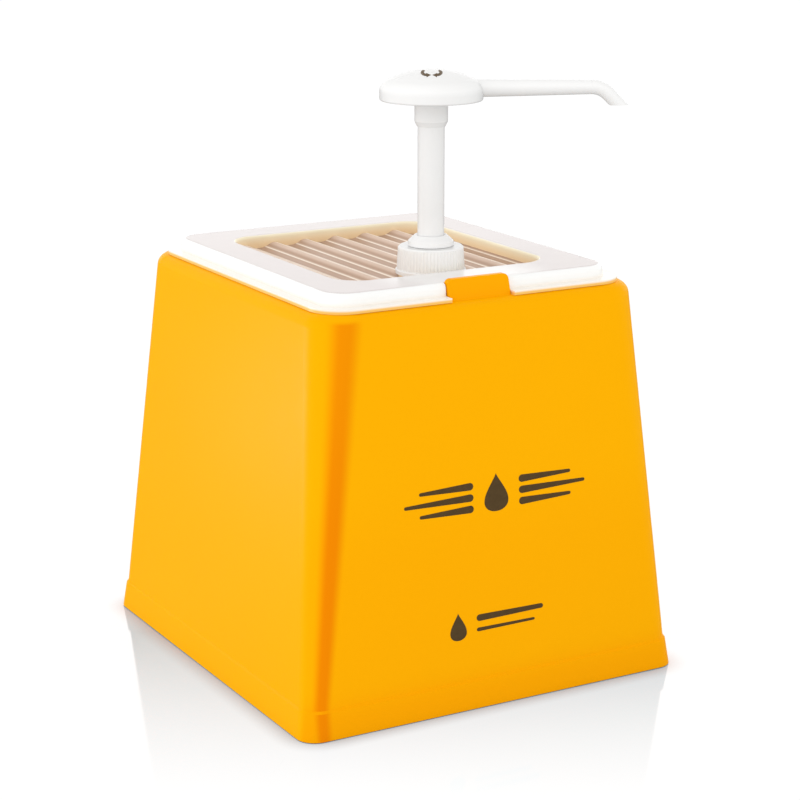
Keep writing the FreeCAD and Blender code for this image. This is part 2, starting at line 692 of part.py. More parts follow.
def pump_head():
    """Dome shell with ribs, a sleeve that takes the stem and an elbow that takes the spout."""
    outer = dome(0, HEAD_RIM_ROUND)
    inner = dome(HEAD_WALL, HEAD_RIM_ROUND / 4)
    chamfer_r, chamfer_h = SLEEVE_CHAMFER
    sleeve_top = HEAD_SIDE_TOP_Z + HEAD_DOME_H - HEAD_WALL / 2
    sleeve = turned([
        (0, SLEEVE_FOOT_Z),
        (SLEEVE_R - chamfer_r, SLEEVE_FOOT_Z),
        (SLEEVE_R, SLEEVE_FOOT_Z + chamfer_h),
        (SLEEVE_R, sleeve_top),
        (0, sleeve_top),
    ])
    elbow = on_spout(Part.makeCylinder(ELBOW_R, HEAD_R, V(0, 0, SPOUT_Z[0]), V(1, 0, 0)))
    ribs = []
    for k in range(HEAD_RIBS):
        rib = Part.makeBox(HEAD_R, RIB_T, HEAD_DOME_H, V(0, -RIB_T / 2, HEAD_SIDE_TOP_Z - 1))
        rib.rotate(V(0, 0, 0), UP, SPOUT_ANGLE + 360.0 * (k + 0.5) / HEAD_RIBS)
        rib.translate(V(0, PUMP_Y, 0))
        ribs.append(rib)
    inside = elbow.fuse(ribs).common(outer)
    head = outer.cut(inner).fuse([sleeve, inside])
    head = head.cut(rod(STEM_R, SLEEVE_FOOT_Z, STEM_TOP_Z))
    head = head.cut(rod(STEM_BORE_R, STEM_TOP_Z, SPOUT_Z[0]))
    port = Part.makeCylinder(SPOUT_BORE_R[0], HEAD_R, V(0, 0, SPOUT_Z[0]), V(1, 0, 0))
    socket = Part.makeCylinder(SPOUT_SOCKET_R, HEAD_R, V(SPOUT_SOCKET_X, 0, SPOUT_Z[0]), V(1, 0, 0))
    return head.cut([on_spout(port), on_spout(socket)]).removeSplitter()


def spout_path_solid(root_r, end_r, tip_r, root_x):
    """Tapered arm, bend and down-turned end, drawn along +X."""
    drop = math.radians(SPOUT_DROP)
    root = V(root_x, 0, SPOUT_Z[0])
    tangent = SPOUT_BEND_R * math.tan(drop / 2)
    bend_start = V(SPOUT_CORNER_X - tangent, 0, SPOUT_Z[1])
    arm_axis = bend_start - root
    arm = Part.makeCone(root_r, end_r, arm_axis.Length, root, arm_axis)
    disc = Part.Face(Part.Wire(Part.Circle(bend_start, V(1, 0, 0), end_r).toShape()))
    centre = bend_start - V(0, 0, SPOUT_BEND_R)
    bend = disc.revolve(centre, V(0, 1, 0), SPOUT_DROP)
    bend_end = centre + V(math.sin(drop), 0, math.cos(drop)) * SPOUT_BEND_R
    reach = (bend_end.z - SPOUT_TIP_Z) / math.sin(drop) + 2 * end_r
    end = Part.makeCone(end_r, tip_r, reach, bend_end, V(math.cos(drop), 0, -math.sin(drop)))
    return arm.fuse([bend, end])


def spout():
    """Swan-neck spout that plugs into the head and turns down to a level outlet."""
    size = 2 * HEAD_R
    below_tip = Part.makeBox(size, size, size, V(SPOUT_CORNER_X - HEAD_R, -HEAD_R, SPOUT_TIP_Z - size))
    arm = spout_path_solid(*SPOUT_R, SPOUT_ROOT_X)
    arm = on_spout(arm.cut(below_tip)).cut(dome(0, HEAD_RIM_ROUND))
    socket = V(SPOUT_SOCKET_X, 0, SPOUT_Z[0])
    spigot = Part.makeCylinder(SPOUT_SOCKET_R, HEAD_R - SPOUT_SOCKET_X, socket, V(1, 0, 0))
    bore = spout_path_solid(*SPOUT_BORE_R, SPOUT_SOCKET_X - 1)
    return arm.fuse(on_spout(spigot)).cut(on_spout(bore)).removeSplitter()


def main():
    nodes = {
        "housing": housing(),
        "rubber_feet": rubber_feet(),
        "container": container(),
        "lid": lid(),
        "closure_collar": closure_collar(),
        "barrel_gasket": barrel_gasket(),
        "barrel": barrel(),
        "guide_cap": guide_cap(),
        "stem_seal": stem_seal(),
        "foot_valve": foot_valve(),
        "ball_retainer": ball_retainer(),
        "lower_ball": seated_ball(LOWER_BALL_R, LOWER_SEAT_R, LOWER_SEAT_Z),
        "dip_tube": dip_tube(),
        "piston": piston(),
        "piston_cup": piston_cup(),
        "upper_ball": seated_ball(UPPER_BALL_R, PISTON_PORT_R, UPPER_SEAT_Z),
        "return_spring": return_spring(),
        "stem": stem(),
        "pump_head": pump_head(),
        "spout": spout(),
    }
    os.makedirs("parts", exist_ok=True)
    for name, shape in nodes.items():
        shape.exportStep(f"parts/{name}.step")
        box = shape.BoundBox
        print(
            f"{name:15s} valid {shape.isValid()} solids {len(shape.Solids)} faces {len(shape.Faces)}"
            f" volume {shape.Volume:.0f} z {box.ZMin:.1f}..{box.ZMax:.1f}"
        )


main()
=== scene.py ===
import json
import math

import bmesh
import bpy
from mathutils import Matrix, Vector

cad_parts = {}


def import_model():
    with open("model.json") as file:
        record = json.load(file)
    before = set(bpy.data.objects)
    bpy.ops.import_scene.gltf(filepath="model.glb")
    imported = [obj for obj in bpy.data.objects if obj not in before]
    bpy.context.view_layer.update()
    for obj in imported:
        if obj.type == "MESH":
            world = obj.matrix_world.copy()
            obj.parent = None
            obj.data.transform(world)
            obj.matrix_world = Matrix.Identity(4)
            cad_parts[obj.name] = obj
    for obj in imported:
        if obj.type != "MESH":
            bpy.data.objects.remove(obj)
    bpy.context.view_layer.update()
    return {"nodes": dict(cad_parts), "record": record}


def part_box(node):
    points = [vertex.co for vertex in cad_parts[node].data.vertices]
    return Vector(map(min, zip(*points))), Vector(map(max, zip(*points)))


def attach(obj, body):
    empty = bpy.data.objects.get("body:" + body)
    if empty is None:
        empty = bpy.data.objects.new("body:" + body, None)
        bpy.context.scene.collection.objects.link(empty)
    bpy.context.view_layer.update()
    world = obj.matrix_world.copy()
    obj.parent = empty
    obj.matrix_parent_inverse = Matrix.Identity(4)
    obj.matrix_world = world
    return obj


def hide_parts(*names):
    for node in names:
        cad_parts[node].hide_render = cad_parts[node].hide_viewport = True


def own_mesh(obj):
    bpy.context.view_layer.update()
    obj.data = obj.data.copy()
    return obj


# Looks of the condiment pump dispenser, in metres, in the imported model's own frame:
# the front face towards -Y, the lid on top, the pump on its axis near the front.
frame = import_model()
nodes = frame["nodes"]

# Outer walls of the housing: half sizes and corner radii at the foot and at the top.
WALL_Z = (0.018, 0.240)
WALL_HALF_X = (0.1253, 0.1069)
WALL_HALF_Y = (0.1352, 0.1205)
CORNER_R = (0.012, 0.022)

# Housing plastic: its two shades, then the painted shade of the low front and of the tongue, the
# specks, and the painted shade streak along the front left corner, and the heights between which
# they set in.
YELLOWS = ((0.955, 0.422, 0.0003), (0.975, 0.444, 0.0006))
YELLOW_LOW_SHADE = (0.94, 0.358, 0.0002)
YELLOW_TONGUE_SHADE = (0.965, 0.400, 0.0010)
YELLOW_SPECK = (0.83, 0.31, 0.0)
YELLOW_CORNER_SHADE = (0.865, 0.240, 0.0)
LOW_FRONT_SHADE_Z = (0.090, 0.150)
SKIRT_SHADE_Z = (0.008, 0.030)
TONGUE_Z = (0.2402, 0.2415)
CORNER_SHADE_FADE_Z = (0.10, 0.22)

# Sunken panel of the lid: half sizes, middle, heights of its troughs and crests, width over which
# its colour gives way to the border's, top of its walls, pitch of the painted highlight lines.
PANEL_HALF = (0.0697, 0.0794)
PANEL_Y = 0.0018
PANEL_Z = (0.2419, 0.2449)
PANEL_BLEND = 0.0018
PANEL_RIM_Z = (0.24985, 0.24997)
PANEL_WALL_Z = (0.2430, 0.2500)
LINE_PITCH = 0.0073

# Border of the lid: where its top begins, its foot and the thin flange, and the zone round the neck
# where the painted shade of the top fades, with its middle and reach.
BORDER_TOP_Z = (0.2470, 0.2490)
FLANGE_Z = (0.2410, 0.2424, 0.2450)
NECK_POINT = (0.0, -0.09, 0.25)
NECK_FADE = (0.025, 0.060)

# Lid plastic: pairs of shades for its sides and for the painted shade of its top, the painted
# yellow glow from the housing at its foot, pairs for the painted glow of the panel walls and for
# the tub in painted shade under the panel, and the painted highlight and shade lines of the panel.
LID_TOP_SHADE = ((0.66, 0.60, 0.59), (0.70, 0.65, 0.63))
LID_SIDE = ((0.965, 0.965, 0.945), (0.995, 0.995, 0.980))
LID_EDGE_HOUSING_GLOW = (0.95, 0.57, 0.11)
PANEL_WALL_GLOW = ((0.93, 0.71, 0.43), (0.96, 0.87, 0.65))
PANEL_FLOOR_TUB_IN_SHADE = ((0.545, 0.365, 0.265), (0.735, 0.545, 0.425))
LINE_HIGHLIGHT_PAINTED = (1.0, 0.88, 0.74)
LINE_SHADE_PAINTED = (0.42, 0.26, 0.17)

# White pump: its two shades, the painted shade of its undersides, the heights where the collar,
# painted lighter to lift its shade, ends and where the painted shade sets in, and the tint of its
# clear skin.
PUMP_WHITES = ((0.97, 0.965, 0.955), (1.0, 0.995, 0.985))
PUMP_UNDER_SHADE = (0.20, 0.20, 0.20)
COLLAR_Z = (0.262, 0.266)
UNDER_SHADE_Z = (0.262, 0.285)
PUMP_SKIN = 0.925

# Printed marks: thickness, and how far they sink into the surface.
PRINT_T = 0.00012
PRINT_SUNK = 0.00003
DROP_STEPS = 48
ROUND_STEPS = 8

# Large print: middle; foot, width and height of the drop; height and length of each bar beside
# it, where the bars start, and their half heights at both ends.
LARGE_X = 0.002
LARGE_DROP = (0.1165, 0.0190, 0.0225)
LARGE_BARS = ((0.1335, 0.036), (0.1268, 0.046), (0.1201, 0.036))
LARGE_BAR_START = 0.0155
LARGE_BAR_HALF = (0.0022, 0.0010)

# Small print: middle, foot, width and height of the drop; height, length and half height of each
# bar, where they start, and how much they taper.
SMALL_DROP = (-0.026, 0.043, 0.0130, 0.0165)
SMALL_BARS = ((0.0545, 0.046, 0.0020), (0.0475, 0.040, 0.0011))
SMALL_BAR_START = -0.0135
SMALL_BAR_TAPER = 0.7

# Press head: its crown is part of a sphere.
CROWN_R = 0.0567
SPOUT_ANGLE = math.radians(-29.5)

# Turn arrows on the crown: half width, radius, centre (across, out), stretch outwards, first
# angle and step in degrees, number of stops, and the points of the tip from the last stop.
ARROW_HALF = 0.0009
ARROW_R = 0.0024
ARROW_CENTRE = (0.0030, 0.0106)
ARROW_STRETCH = 1.9
ARROW_FROM = -62
ARROW_STEP = 19
ARROW_STOPS = 9
ARROW_TIP = ((0.0, 0.0016), (-0.0026, -0.0012), (0.0002, -0.0046))

# Return spring: radii, coils, pitch of the closed coils in wire thicknesses, mesh steps.
SPRING_R = 0.0086
WIRE_R = 0.00075
COILS = 9.0
CLOSED_COILS = 1.0
CLOSED_PITCH = 1.04
STEPS_PER_COIL = 40
STEPS_ROUND_WIRE = 12

# Floor: half size, its glow, mirror tinted so that the yellow housing mirrors as grey, the light
# behind that, the direction and distance over which the mirror fades, how much it glows in
# reflections, and the reach of the contact shadow.
FLOOR_HALF = 14.0
FLOOR_GLOW = (0.93, 0.93, 0.93)
FLOOR_MATT = (0.10, 0.10, 0.10, 1.0)
MIRROR = 0.42
MIRROR_TINT = (1.0, 0.60, 0.46)
MIRROR_ROUGH = 0.07
BACKDROP = 2.0
FADE_AXIS = (-0.486, -0.874, 0.0)
FADE_REACH = 0.28
FADE_POWER = 1.5
GLOW_REFLECTED = 0.2
CONTACT_REACH = 0.014

# Room: light from low down and from above, and how bright the camera sees it at least.
ROOM_LIGHT = (1.22, 0.86)
ROOM_SEEN = 1.05

# Camera, and the point that the softboxes aim at.
CAMERA_PLACE = (-0.64678, -1.16302, 0.50082)
CAMERA_TURN = (math.radians(75.4), 0.0, math.radians(-29.46))
CAMERA_LENS = 98.9
CAMERA_SENSOR = 36.0
AIM = (0.0, 0.0, 0.15)


# ---------------------------------------------------------------- shader helpers

def add(tree, kind, inputs=None, **settings):
    """Adds a shader node; an input is a value or another node's output."""
    node = tree.nodes.new(kind)
    for name, value in settings.items():
        setattr(node, name, value)
    for name, value in (inputs or {}).items():
        if isinstance(value, bpy.types.NodeSocket):
            tree.links.new(value, node.inputs[name])
        else:
            node.inputs[name].default_value = value
    return node


def new_material(name):
    """A material with its tree, its Principled shader and the piece's own coordinates."""
    material = bpy.data.materials.new(name)
    material.use_nodes = True
    tree = material.node_tree
    coords = add(tree, "ShaderNodeTexCoord").outputs["Object"]
    return material, tree, tree.nodes["Principled BSDF"], coords


def noise(tree, coords, scale, detail=3.0, roughness=0.5):
    """Soft noise around 0.5, with scale in features per metre."""
    settings = {"Vector": coords, "Scale": scale, "Detail": detail, "Roughness": roughness}
    return add(tree, "ShaderNodeTexNoise", settings).outputs["Fac"]


def maths(tree, operation, a, b=0.0):
    return add(tree, "ShaderNodeMath", {0: a, 1: b}, operation=operation).outputs[0]


def product(tree, first, *others):
    """All the values multiplied together."""
    result = first
    for other in others:
        result = maths(tree, "MULTIPLY", result, other)
    return result


def axes(tree, vector):
    """The X, Y and Z of a vector."""
    return add(tree, "ShaderNodeSeparateXYZ", {0: vector}).outputs


def surface_normal(tree):
    """The X, Y and Z of the surface's direction."""
    return axes(tree, add(tree, "ShaderNodeNewGeometry").outputs["Normal"])


def spread(tree, value, low, high, to_low=0.0, to_high=1.0, smooth=True):
    """Maps value from low..high to to_low..to_high, held at both ends."""
    settings = {
        "Value": value, "From Min": low, "From Max": high, "To Min": to_low, "To Max": to_high,
    }
    kind = "SMOOTHSTEP" if smooth else "LINEAR"
    return add(tree, "ShaderNodeMapRange", settings, interpolation_type=kind).outputs["Result"]


def mixed(tree, factor, a, b):
    """Colour from a at factor 0 to b at factor 1."""
    node = add(tree, "ShaderNodeMix", data_type="RGBA")
    for name, value in (("Factor", factor), ("A", a), ("B", b)):
        sockets = [s for s in node.inputs if s.name == name and s.enabled]
        if isinstance(value, bpy.types.NodeSocket):
            tree.links.new(value, sockets[0])
        else:
            sockets[0].default_value = value if name == "Factor" else (*value, 1.0)
    return [s for s in node.outputs if s.enabled][0]


def bumped(tree, layers):
    """Normal from bump layers, each (height, distance, strength), one on top of the other."""
    normal = None
    for height, distance, strength in layers:
        settings = {"Height": height, "Distance": distance, "Strength": strength}
        if normal is not None:
            settings["Normal"] = normal
        normal = add(tree, "ShaderNodeBump", settings).outputs["Normal"]
    return normal


def set_inputs(tree, shader, **values):
    """Sets the Principled shader's inputs by name, with _ for a space."""
    for name, value in values.items():
        socket = shader.inputs[name.replace("_", " ")]
        if isinstance(value, bpy.types.NodeSocket):
            tree.links.new(value, socket)
        elif isinstance(value, tuple) and len(socket.default_value) == 4:
            socket.default_value = (*value, 1.0)
        else:
            socket.default_value = value


# ---------------------------------------------------------------- materials

def yellow_shell():
    """Satin moulded plastic, with painted shade along the front left corner, on the tongue and low
    on the front.
    """
    material, tree, shader, coords = new_material("yellow_shell")
    place = axes(tree, coords)
    turned = surface_normal(tree)
    side = spread(tree, place["Z"], *WALL_Z, *WALL_HALF_X, smooth=False)
    radius = spread(tree, place["Z"], *WALL_Z, *CORNER_R, smooth=False)
    share = maths(tree, "DIVIDE", maths(tree, "ADD", side, place["X"]), radius)
    front = spread(tree, turned["Y"], -0.55, -0.15, 1.0, 0.0)
    # Painted shade streak along the front left corner, on front-facing surfaces, a little weaker
    # high up.
    corner = product(
        tree,
        spread(tree, share, 0.24, 0.62),
        spread(tree, share, 0.80, 1.28, 1.0, 0.0),
        spread(tree, maths(tree, "ABSOLUTE", turned["Z"]), 0.35, 0.75, 1.0, 0.0),
        front,
        spread(tree, place["Z"], *CORNER_SHADE_FADE_Z, 1.0, 0.80),
    )
    # Painted shade on the front-facing surfaces, darker towards the bottom and at the skirt.
    low = maths(
        tree, "ADD", spread(tree, place["Z"], *LOW_FRONT_SHADE_Z, 0.28, 0.0),
        spread(tree, place["Z"], *SKIRT_SHADE_Z, 0.55, 0.0),
    )
    body = mixed(tree, noise(tree, coords, 7.0, 2.0), *YELLOWS)
    body = mixed(tree, product(tree, low, front), body, YELLOW_LOW_SHADE)
    # Painted shade on the tongue, the part that stands above the housing's top.
    body = mixed(tree, spread(tree, place["Z"], *TONGUE_Z), body, YELLOW_TONGUE_SHADE)
    speck = noise(tree, coords, 420.0, 4.0, 0.6)
    body = mixed(tree, spread(tree, speck, 0.35, 0.8, 0.0, 0.05), body, YELLOW_SPECK)
    grain = noise(tree, coords, 1300.0, 3.0, 0.6)
    waviness = noise(tree, coords, 22.0, 1.0)
    rough = spread(tree, noise(tree, coords, 65.0, 4.0), 0.3, 0.7, 0.30, 0.36)
    set_inputs(
        tree, shader, Base_Color=mixed(tree, corner, body, YELLOW_CORNER_SHADE), Roughness=rough,
        Specular_IOR_Level=0.014,
        Normal=bumped(tree, [(waviness, 0.0005, 0.12), (grain, 0.00004, 0.2)]),
    )
    return material


def painted_rib_light_lines(tree, x):
    """Painted highlight lines along the ribs of the panel, each with a painted shade line beside
    it.
    """
    step = maths(tree, "FRACT", maths(tree, "MULTIPLY", x, 1.0 / LINE_PITCH))
    bright = product(tree, spread(tree, step, 0.0, 0.10), spread(tree, step, 0.12, 0.28, 1.0, 0.0))
    dark = product(tree, spread(tree, step, 0.24, 0.38), spread(tree, step, 0.42, 0.70, 1.0, 0.0))
    return bright, dark


def clear_white_lid():
    """Milky polypropylene, a little see-through in the sunken panel, with painted shade and glow.
    """
    material, tree, shader, coords = new_material("clear_white_lid")
    split = axes(tree, coords)
    up = surface_normal(tree)["Z"]
    across = maths(tree, "ABSOLUTE", split["X"])
    along = maths(tree, "ABSOLUTE", maths(tree, "SUBTRACT", split["Y"], PANEL_Y))
    sunken = product(
        tree,
        spread(tree, across, PANEL_HALF[0], PANEL_HALF[0] + PANEL_BLEND, 1.0, 0.0),
        spread(tree, along, PANEL_HALF[1], PANEL_HALF[1] + PANEL_BLEND, 1.0, 0.0),
        spread(tree, split["Z"], *PANEL_RIM_Z, 1.0, 0.0),
    )
    cloud = noise(tree, coords, 26.0, 3.0)
    near = add(tree, "ShaderNodeVectorMath", {0: coords, 1: NECK_POINT}, operation="DISTANCE")
    # Painted shade on the upward faces of the border's top, weaker near the neck.
    level = product(
        tree,
        spread(tree, up, 0.90, 0.995),
        spread(tree, split["Z"], *BORDER_TOP_Z),
        spread(tree, near.outputs["Value"], *NECK_FADE, 0.35, 1.0),
    )
    milky = mixed(tree, level, mixed(tree, cloud, *LID_SIDE), mixed(tree, cloud, *LID_TOP_SHADE))
    # Painted yellow glow of light from the housing, at the lid's foot and its flange.
    edge = maths(
        tree, "ADD", spread(tree, split["Z"], *FLANGE_Z[:2], 0.82, 0.0),
        spread(tree, split["Z"], *FLANGE_Z[1:], 0.12, 0.0),
    )
    flange_housing_glow = mixed(tree, edge, milky, LID_EDGE_HOUSING_GLOW)
    # Panel walls: painted yellow glow from the housing, cream at the top to yellow-beige at the
    # foot.
    wall = mixed(tree, spread(tree, split["Z"], *PANEL_WALL_Z), *PANEL_WALL_GLOW)
    # Painted highlight and shade lines along the ribs.
    bright, dark = painted_rib_light_lines(tree, split["X"])
    # Panel floor: the beige tub in painted shade under the panel, darker in the troughs than on the
    # crests.
    panel_tub_shade_and_lines = mixed(tree, spread(tree, split["Z"], *PANEL_Z), *PANEL_FLOOR_TUB_IN_SHADE)
    panel_tub_shade_and_lines = mixed(tree, bright, panel_tub_shade_and_lines, LINE_HIGHLIGHT_PAINTED)
    panel_tub_shade_and_lines = mixed(tree, product(tree, dark, 0.45), panel_tub_shade_and_lines, LINE_SHADE_PAINTED)
    low = spread(tree, split["Z"], PANEL_Z[1] + 0.0003, PANEL_Z[1] + 0.0012, 1.0, 0.0)
    thin = product(tree, sunken, low, spread(tree, up, 0.30, 0.65))
    colour = mixed(tree, thin, mixed(tree, sunken, flange_housing_glow, wall), panel_tub_shade_and_lines)
    scratch = noise(tree, coords, 900.0, 5.0, 0.7)
    waviness = noise(tree, coords, 70.0, 2.0)
    rough = maths(tree, "ADD", spread(tree, cloud, 0.3, 0.7, 0.14, 0.22), product(tree, thin, 0.15))
    set_inputs(
        tree, shader, Base_Color=colour, Roughness=rough, Specular_IOR_Level=0.03,
        Alpha=spread(tree, thin, 0.0, 1.0, 0.98, 0.90, smooth=False),
        Normal=bumped(tree, [(waviness, 0.0003, 0.15), (scratch, 0.00002, 0.2)]),
    )
    return material


def plain_plastic(name, colours, rough, blotch=40.0, grain=1500.0, specular=0.5, **more):
    """Moulded plastic of two close colours with a fine surface grain."""
    material, tree, shader, coords = new_material(name)
    cloud = noise(tree, coords, blotch, 4.0, 0.55)
    fine = noise(tree, coords, grain, 3.0, 0.6)
    waviness = noise(tree, coords, blotch * 3.0, 1.0)
    settings = {"Base_Color": mixed(tree, cloud, *colours), "Specular_IOR_Level": specular}
    settings["Roughness"] = spread(tree, cloud, 0.3, 0.7, *rough)
    settings["Normal"] = bumped(tree, [(waviness, 0.0002, 0.12), (fine, 0.00002, 0.25)])
    set_inputs(tree, shader, **settings, **more)
    return material


def white_pump():
    """Plain white plastic, painted lighter at the collar to lift its shade and with painted shade
    underneath, with a clear skin that takes some light away, most where it is crossed at a slant."""
    skin = (PUMP_SKIN, PUMP_SKIN, PUMP_SKIN)
    material = plain_plastic(
        "white_pump", PUMP_WHITES, (0.26, 0.34), 30.0, specular=0.05, Coat_Weight=1.0,
        Coat_Roughness=0.3, Coat_IOR=1.03, Coat_Tint=skin,
    )
    tree = material.node_tree
    shader = tree.nodes["Principled BSDF"]
    body = shader.inputs["Base Color"].links[0].from_socket
    height = axes(tree, add(tree, "ShaderNodeTexCoord").outputs["Object"])["Z"]
    # Painted shade on the downward faces above the collar.
    under = product(
        tree,
        spread(tree, surface_normal(tree)["Z"], -0.98, 0.35, 0.32, 0.0, smooth=False),
        spread(tree, height, *UNDER_SHADE_Z),
    )
    # The collar painted in the lighter white to lift its shade.
    body = mixed(tree, spread(tree, height, *COLLAR_Z, 0.9, 0.0), body, PUMP_WHITES[1])
    set_inputs(tree, shader, Base_Color=mixed(tree, under, body, PUMP_UNDER_SHADE))
    return material


def stainless():
    """Drawn wire and ball steel with fine scratches."""
    material, tree, shader, coords = new_material("stainless")
    scratch = noise(tree, coords, 2400.0, 5.0, 0.7)
    cloud = noise(tree, coords, 120.0, 3.0)
    set_inputs(
        tree, shader, Base_Color=mixed(tree, cloud, (0.60, 0.59, 0.57), (0.74, 0.73, 0.71)),
        Metallic=1.0, Roughness=spread(tree, scratch, 0.3, 0.7, 0.20, 0.38),
        Normal=bumped(tree, [(scratch, 0.00001, 0.4)]),
    )
    return material


def print_ink():
    """Dark brown screen-print ink, slightly uneven."""
    material, tree, shader, coords = new_material("print_ink")
    cloud = noise(tree, coords, 260.0, 5.0, 0.65)
    colour = mixed(tree, cloud, (0.062, 0.036, 0.012), (0.098, 0.058, 0.020))
    set_inputs(
        tree, shader, Base_Color=colour,
        Roughness=spread(tree, cloud, 0.3, 0.7, 0.45, 0.60), Specular_IOR_Level=0.1,
        Normal=bumped(tree, [(noise(tree, coords, 1800.0, 2.0), 0.00002, 0.3)]),
    )
    return material


def make_materials():
    return {
        "yellow_shell": yellow_shell(),
        "clear_white_lid": clear_white_lid(),
        "natural_tub": plain_plastic(
            "natural_tub", ((0.78, 0.60, 0.40), (0.86, 0.70, 0.50)), (0.32, 0.42), 18.0,
        ),
        "white_pump": white_pump(),
        "natural_barrel": plain_plastic(
            "natural_barrel", ((0.78, 0.80, 0.80), (0.86, 0.87, 0.86)), (0.22, 0.32), 45.0,
            Alpha=0.62,
        ),
        "dip_tube": plain_plastic(
            "dip_tube", ((0.82, 0.84, 0.84), (0.90, 0.91, 0.90)), (0.18, 0.26), 60.0,
            Alpha=0.55,
        ),
        "soft_seal": plain_plastic(
            "soft_seal", ((0.30, 0.31, 0.33), (0.38, 0.39, 0.41)), (0.55, 0.70), 90.0,
            specular=0.35,
        ),
        "foot_rubber": plain_plastic(
            "foot_rubber", ((0.035, 0.035, 0.037), (0.065, 0.065, 0.068)), (0.65, 0.82), 110.0,
            900.0, specular=0.3,
        ),
        "stainless": stainless(),
        "print_ink": print_ink(),
    }


def dress(materials):
    """Gives every CAD node the material of its slot."""
    for part in frame["record"]["subparts"]:
        mesh = nodes[part["node"]].data
        mesh.materials.clear()
        mesh.materials.append(materials[part["material_slot"]])


# ---------------------------------------------------------------- pieces

def mesh_object(name, build, material):
    """Object whose mesh is made by build(bm)."""
    mesh = bpy.data.meshes.new(name)
    bm = bmesh.new()
    build(bm)
    bmesh.ops.recalc_face_normals(bm, faces=bm.faces)
    bm.to_mesh(mesh)
    bm.free()
    mesh.materials.append(material)
    piece = bpy.data.objects.new(name, mesh)
    bpy.context.scene.collection.objects.link(piece)
    return piece


def on_front(x, height, lift):
    """Point on the housing's front wall at a height z, lifted off it by lift."""
    run = WALL_HALF_Y[0] - WALL_HALF_Y[1]
    rise = WALL_Z[1] - WALL_Z[0]
    y = run * (height - WALL_Z[0]) / rise - WALL_HALF_Y[0]
    slope = math.hypot(run, rise)
    return Vector((x, y - lift * rise / slope, height + lift * run / slope))


def plate(bm, outline, place):
    """Thin plate with the given outline of (x, y) points, closed all round."""
    low = [bm.verts.new(place(x, y, -PRINT_SUNK)) for x, y in outline]
    high = [bm.verts.new(place(x, y, PRINT_T)) for x, y in outline]
    bm.faces.new(low)
    bm.faces.new(list(reversed(high)))
    for k in range(len(outline)):
        after = (k + 1) % len(outline)
        bm.faces.new((low[k], high[k], high[after], low[after]))


def drop_outline(x, foot, width, height):
    """Outline of a drop with its point up."""
    points = []
    for k in range(DROP_STEPS):
        t = 2 * math.pi * k / DROP_STEPS
        reach = math.sin(t) * math.sin(t / 2) ** 1.6
        points.append((x + width * 0.62 * reach, foot + height * (1 + math.cos(t)) / 2))
    return points


def bar_outline(x0, x1, y, h0, h1):
    """Outline of a bar along X with half heights h0 and h1 at its ends, and round ends."""
    points = []
    side = 1 if x1 > x0 else -1
    for k in range(ROUND_STEPS + 1):
        a = math.pi / 2 - math.pi * k / ROUND_STEPS
        points.append((x1 - side * h1 + side * h1 * math.cos(a), y + h1 * math.sin(a)))
    for k in range(ROUND_STEPS + 1):
        a = -math.pi / 2 - math.pi * k / ROUND_STEPS
        points.append((x0 + side * h0 + side * h0 * math.cos(a), y + h0 * math.sin(a)))
    return points


def front_print(ink):
    """Generic drop and bars printed where the housing carries its large print."""
    def build(bm):
        plate(bm, drop_outline(LARGE_X, *LARGE_DROP), on_front)
        for side in (1, -1):
            start = LARGE_X + side * LARGE_BAR_START
            for height, length in LARGE_BARS:
                end = start + side * length
                plate(bm, bar_outline(start, end, height, *LARGE_BAR_HALF), on_front)
    piece = mesh_object("front_print", build, ink)
    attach(piece, "housing")


def small_print(ink):
    """Smaller drop and bars, low on the front."""
    def build(bm):
        plate(bm, drop_outline(*SMALL_DROP), on_front)
        for height, length, half in SMALL_BARS:
            ends = (SMALL_BAR_START, SMALL_BAR_START + length)
            plate(bm, bar_outline(*ends, height, half, half * SMALL_BAR_TAPER), on_front)
    piece = mesh_object("small_print", build, ink)
    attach(piece, "housing")


def head_arrows(ink):
    """Two turn arrows printed on the crown of the press head, mirror images of each other."""
    low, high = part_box("pump_head")
    centre = Vector(((low.x + high.x) / 2, (low.y + high.y) / 2, high.z - CROWN_R))
    towards_front = SPOUT_ANGLE - math.pi / 2

    def on_crown(across, out, lift):
        """Point on the crown: out from its middle towards the front, across to the right."""
        radius = math.hypot(across, out)
        turn = towards_front + math.atan2(across, out)
        reach = CROWN_R + lift
        climb = math.sqrt(reach**2 - radius**2)
        return centre + Vector((radius * math.cos(turn), radius * math.sin(turn), climb))

    def build(bm):
        for side in (1, -1):
            outline = []
            for half in (ARROW_HALF, -ARROW_HALF):
                outer = half > 0
                stops = range(ARROW_STOPS) if outer else range(ARROW_STOPS - 1, -1, -1)
                for k in stops:
                    a = math.radians(ARROW_FROM + ARROW_STEP * k)
                    r = ARROW_R + half
                    across = side * (ARROW_CENTRE[0] + r * math.cos(a))
                    outline.append((across, ARROW_CENTRE[1] + ARROW_STRETCH * r * math.sin(a)))
                if outer:
                    tip = outline[-1]
                    for across, out in ARROW_TIP:
                        outline.append((tip[0] + side * across, tip[1] + out))
            plate(bm, outline, on_crown)
    piece = mesh_object("head_arrows", build, ink)
    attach(piece, "head")


